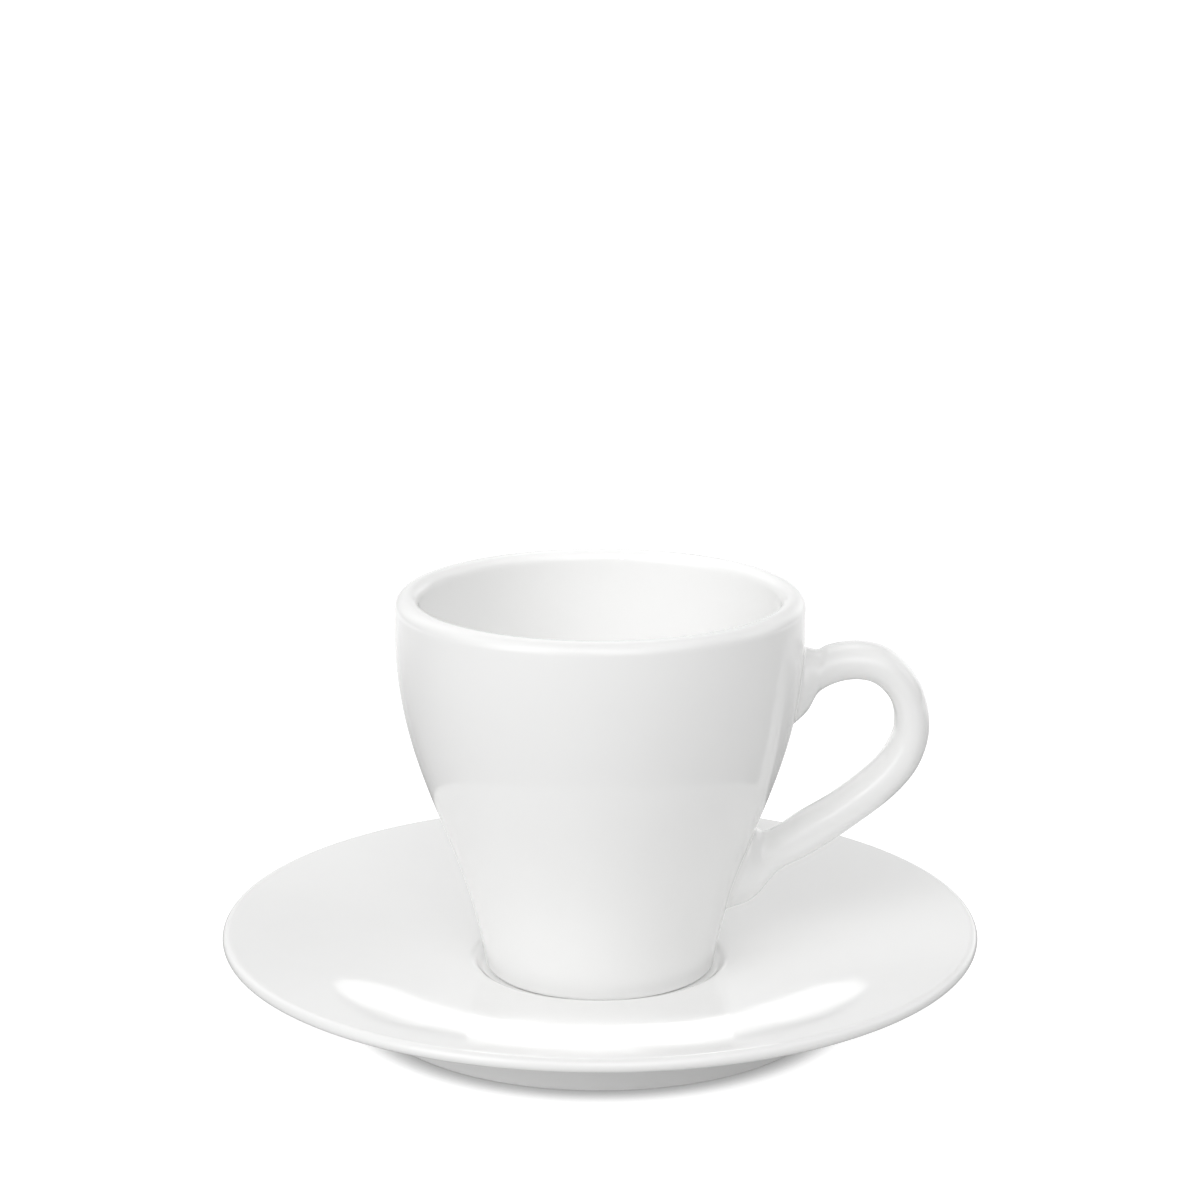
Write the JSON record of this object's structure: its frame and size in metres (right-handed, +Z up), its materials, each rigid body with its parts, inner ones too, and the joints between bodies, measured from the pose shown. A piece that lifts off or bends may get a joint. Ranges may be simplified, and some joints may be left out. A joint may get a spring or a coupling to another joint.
{
  "type": "espresso cup and saucer",
  "caption": "Tulip-shaped glazed porcelain espresso cup with a looped strap handle, standing in the well of a round footed saucer and lifting straight up off it.",
  "frame": {"origin": "on the turning axis of the saucer and the cup, in the plane of the saucer's foot ring", "axes": "+Z up along the turning axis, +X towards the handle"},
  "size_m": [0.12, 0.12, 0.0678],
  "materials": {
    "white_glaze": "glossy white glaze over porcelain",
    "fired_slip": "fired porcelain slip under the glaze"
  },
  "bodies": {
    "saucer": {"saucer": "white_glaze"},
    "cup": {"cup_body": "white_glaze", "cup_handle": "white_glaze", "upper_slip_seam": "fired_slip", "lower_slip_seam": "fired_slip"}
  },
  "joints": [
    {"name": "cup_lift", "type": "slide", "parent": "saucer", "child": "cup", "axis": [0, 0, 1], "range_m": [0, 0.1]}
  ]
}
